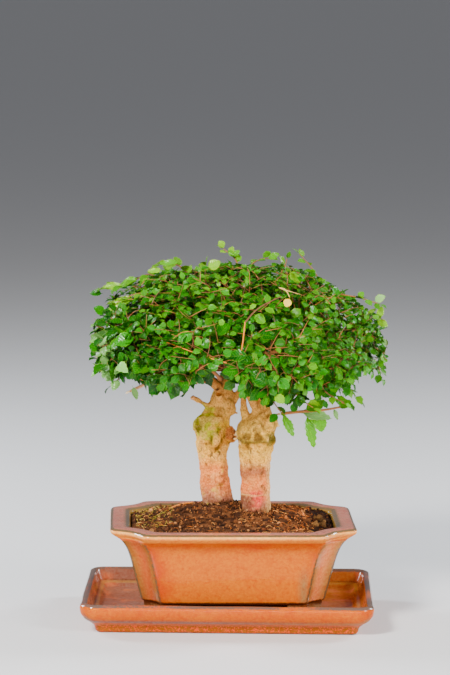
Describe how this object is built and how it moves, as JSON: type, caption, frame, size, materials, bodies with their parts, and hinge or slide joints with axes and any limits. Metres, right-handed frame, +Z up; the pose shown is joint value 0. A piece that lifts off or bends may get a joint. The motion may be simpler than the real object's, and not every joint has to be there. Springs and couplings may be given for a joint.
{
  "type": "chinese elm bonsai",
  "caption": "Small elm tree with paired trunks and a domed leafy crown, in a glazed rectangular pot that stands on a matching drip tray.",
  "frame": {"origin": "centre of the drip tray's flat underside, on the surface that it stands on", "axes": "+Z up, +X along the tray's long side to the right, and the shown front faces -Y"},
  "size_m": [0.2488, 0.1899, 0.313],
  "materials": {
    "tray_glaze": "glossy mottled orange glaze, mauve-brown where it thins on the rim",
    "pot_glaze": "glossy mottled orange glaze with olive-grey breaks along its edges",
    "soil": "matte dark crumbs with orange fibres",
    "bark": "rough flaking ochre bark with mossy patches and mauve-grey bases",
    "foliage": "satin leaf green, brighter yellow-green at the tips"
  },
  "bodies": {
    "root": {"tray": "tray_glaze", "pot": "pot_glaze", "soil": "soil", "trunk_left": "bark", "trunk_right": "bark", "spray_rim_1": "foliage", "spray_rim_2": "foliage", "spray_rim_3": "foliage", "spray_rim_4": "foliage", "spray_rim_5": "foliage", "spray_rim_6": "foliage", "spray_rim_7": "foliage", "spray_rim_8": "foliage", "spray_rim_9": "foliage", "spray_shoulder_1": "foliage", "spray_shoulder_2": "foliage", "spray_shoulder_3": "foliage", "spray_shoulder_4": "foliage", "spray_shoulder_5": "foliage", "spray_shoulder_6": "foliage", "spray_top_1": "foliage", "shoot_hanging": "foliage"}
  },
  "joints": []
}
